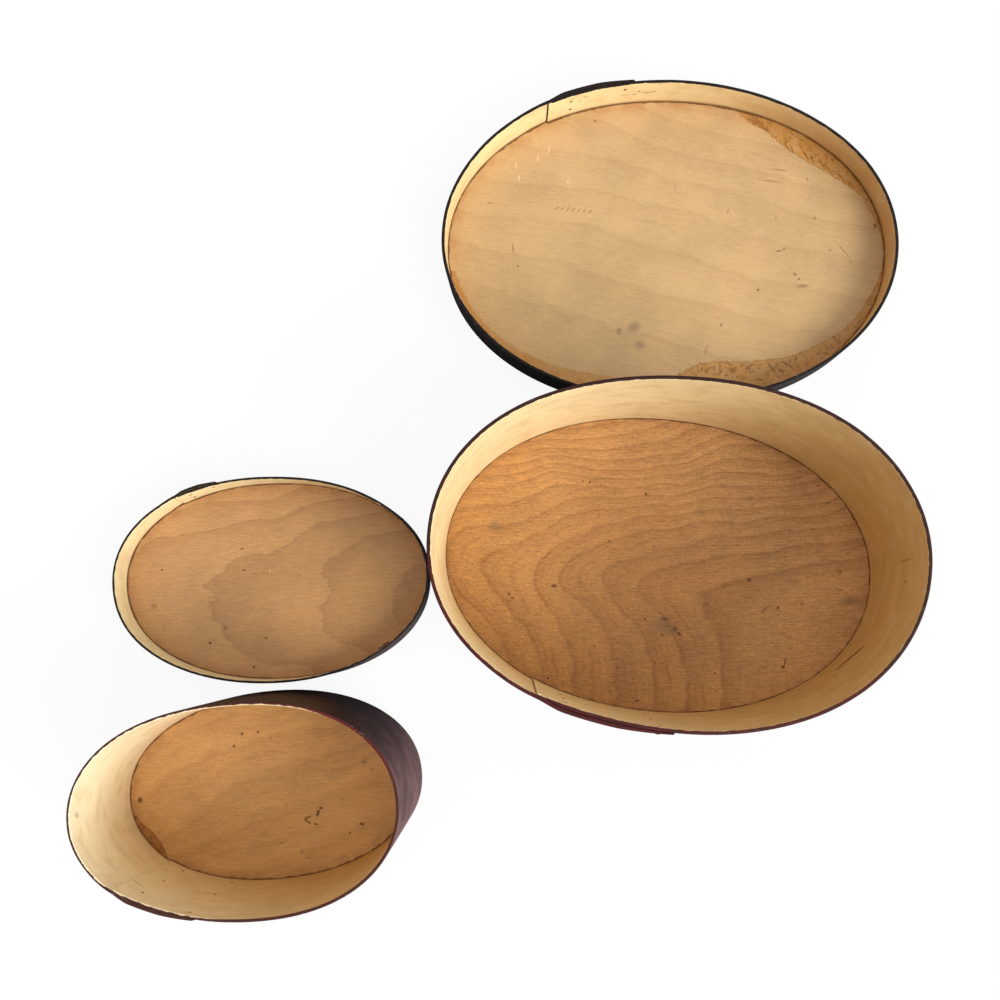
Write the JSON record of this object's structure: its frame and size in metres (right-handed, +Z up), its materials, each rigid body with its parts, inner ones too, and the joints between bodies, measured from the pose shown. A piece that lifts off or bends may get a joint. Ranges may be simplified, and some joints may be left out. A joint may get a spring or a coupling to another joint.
{
  "type": "shaker oval boxes",
  "caption": "Two oval bentwood boxes with swallowtail laps, copper tacks and painted outsides, shown open beside their upturned lids.",
  "frame": {"origin": "on the surface that the pieces stand on, under the middle of the whole footprint", "axes": "+Z up; +X runs along the boxes, from the small box to the large one; +Y runs across them, from the large box to its lid"},
  "size_m": [0.4282, 0.4426, 0.0959],
  "materials": {
    "box_paint": "old dark oxblood paint over maple, worn at the edges, bare pale maple inside",
    "lid_paint": "old near-black paint over maple, worn at the edges, bare pale maple inside",
    "large_box_wood": "bare board, aged orange-brown, cathedral grain",
    "large_lid_wood": "bare pale board with amber stains at its edge",
    "small_box_wood": "bare board, aged golden brown",
    "small_lid_wood": "bare board, aged brown, wavy grain",
    "copper": "dark, tarnished copper",
    "peg_wood": "split hardwood, end grain flush with the band"
  },
  "bodies": {
    "large_box": {"large_box_band": "box_paint", "large_box_board": "large_box_wood", "large_box_tack_1": "copper", "large_box_tack_2": "copper", "large_box_tack_3": "copper", "large_box_tack_4": "copper", "large_box_tack_5": "copper", "large_box_tack_6": "copper", "large_box_tack_7": "copper", "large_box_tack_8": "copper", "large_box_peg_1": "peg_wood", "large_box_peg_2": "peg_wood", "large_box_peg_3": "peg_wood", "large_box_peg_4": "peg_wood", "large_box_peg_5": "peg_wood", "large_box_peg_6": "peg_wood", "large_box_peg_7": "peg_wood", "large_box_peg_8": "peg_wood", "large_box_peg_9": "peg_wood"},
    "large_lid": {"large_lid_band": "lid_paint", "large_lid_board": "large_lid_wood", "large_lid_tack_1": "copper", "large_lid_tack_2": "copper", "large_lid_tack_3": "copper", "large_lid_peg_1": "peg_wood", "large_lid_peg_2": "peg_wood", "large_lid_peg_3": "peg_wood", "large_lid_peg_4": "peg_wood", "large_lid_peg_5": "peg_wood", "large_lid_peg_6": "peg_wood", "large_lid_peg_7": "peg_wood", "large_lid_peg_8": "peg_wood", "large_lid_peg_9": "peg_wood"},
    "small_box": {"small_box_band": "box_paint", "small_box_board": "small_box_wood", "small_box_tack_1": "copper", "small_box_tack_2": "copper", "small_box_tack_3": "copper", "small_box_tack_4": "copper", "small_box_tack_5": "copper", "small_box_tack_6": "copper", "small_box_peg_1": "peg_wood", "small_box_peg_2": "peg_wood", "small_box_peg_3": "peg_wood", "small_box_peg_4": "peg_wood", "small_box_peg_5": "peg_wood", "small_box_peg_6": "peg_wood"},
    "small_lid": {"small_lid_band": "lid_paint", "small_lid_board": "small_lid_wood", "small_lid_tack_1": "copper", "small_lid_tack_2": "copper", "small_lid_tack_3": "copper", "small_lid_peg_1": "peg_wood", "small_lid_peg_2": "peg_wood", "small_lid_peg_3": "peg_wood", "small_lid_peg_4": "peg_wood", "small_lid_peg_5": "peg_wood", "small_lid_peg_6": "peg_wood"}
  },
  "joints": [
    {"name": "large_lid_lift", "type": "slide", "parent": "large_box", "child": "large_lid", "axis": [0, 0, 1], "range_m": [0, 0.13]},
    {"name": "small_box_lift", "type": "slide", "parent": "large_box", "child": "small_box", "axis": [0, 0, 1], "range_m": [0, 0.13]},
    {"name": "small_lid_lift", "type": "slide", "parent": "large_box", "child": "small_lid", "axis": [0, 0, 1], "range_m": [0, 0.13]}
  ]
}
